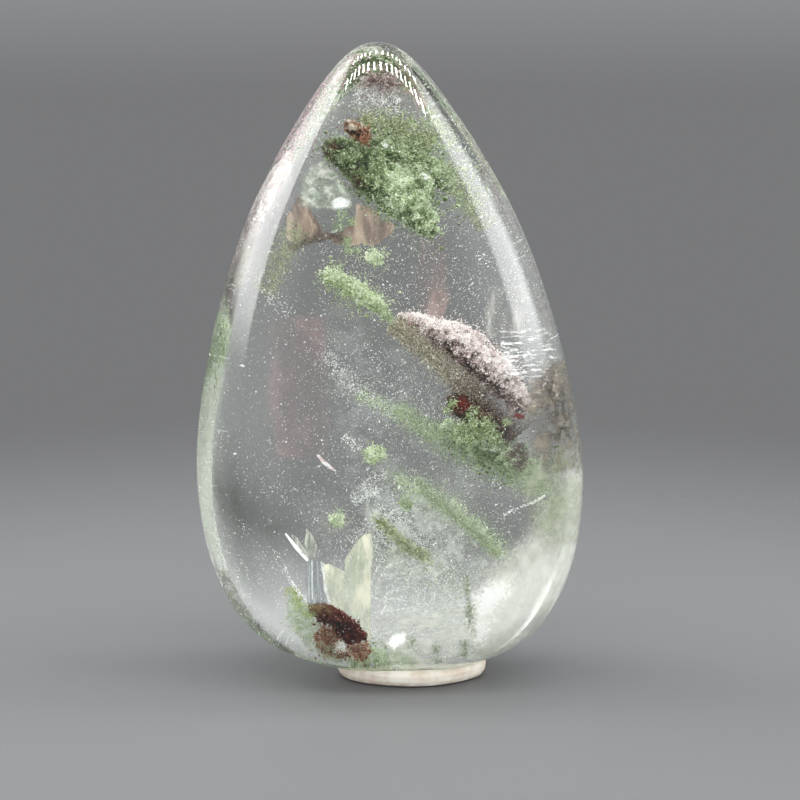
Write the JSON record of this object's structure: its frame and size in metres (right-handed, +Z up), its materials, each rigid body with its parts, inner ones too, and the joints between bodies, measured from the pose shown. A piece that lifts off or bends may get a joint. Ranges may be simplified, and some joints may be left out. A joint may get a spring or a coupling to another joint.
{
  "type": "polished chlorite quartz crystal",
  "caption": "Polished drop of clear quartz with green chlorite, pinkish clay and dark iron oxide growths sealed inside, standing upright on a small pressed putty pad.",
  "frame": {"origin": "on the surface that the part stands on, under the middle of the part's box", "axes": "+Z up along the drop towards its tip, -Y out of the broad face that shows best, +X to that face's right"},
  "size_m": [0.0362, 0.0224, 0.0598],
  "materials": {
    "quartz": "polished, clear, slightly milky",
    "chlorite": "matt, mossy grains",
    "pale_chlorite": "matt, mossy grains",
    "clay": "matt, sandy",
    "iron_oxide": "matt, granular",
    "rust": "matt, granular",
    "pink_stain": "thin see-through film",
    "putty": "soft, matt, off-white"
  },
  "bodies": {
    "root": {"quartz_front": "quartz", "quartz_back": "quartz", "upper_chlorite_mass": "chlorite", "ochre_nodule": "rust", "tip_clay_patch": "clay", "left_chlorite_ledge": "pale_chlorite", "clay_ledge": "clay", "iron_patch": "iron_oxide", "lower_chlorite_shelf": "chlorite", "chlorite_tuft_upper": "pale_chlorite", "chlorite_tuft_middle": "pale_chlorite", "chlorite_tuft_lower": "pale_chlorite", "long_chlorite_streak": "pale_chlorite", "short_chlorite_streak": "chlorite", "base_iron_clump": "iron_oxide", "base_rust_clump": "rust", "base_chlorite_patch": "chlorite", "pink_stain_film": "pink_stain", "putty_pad": "putty"}
  },
  "joints": []
}
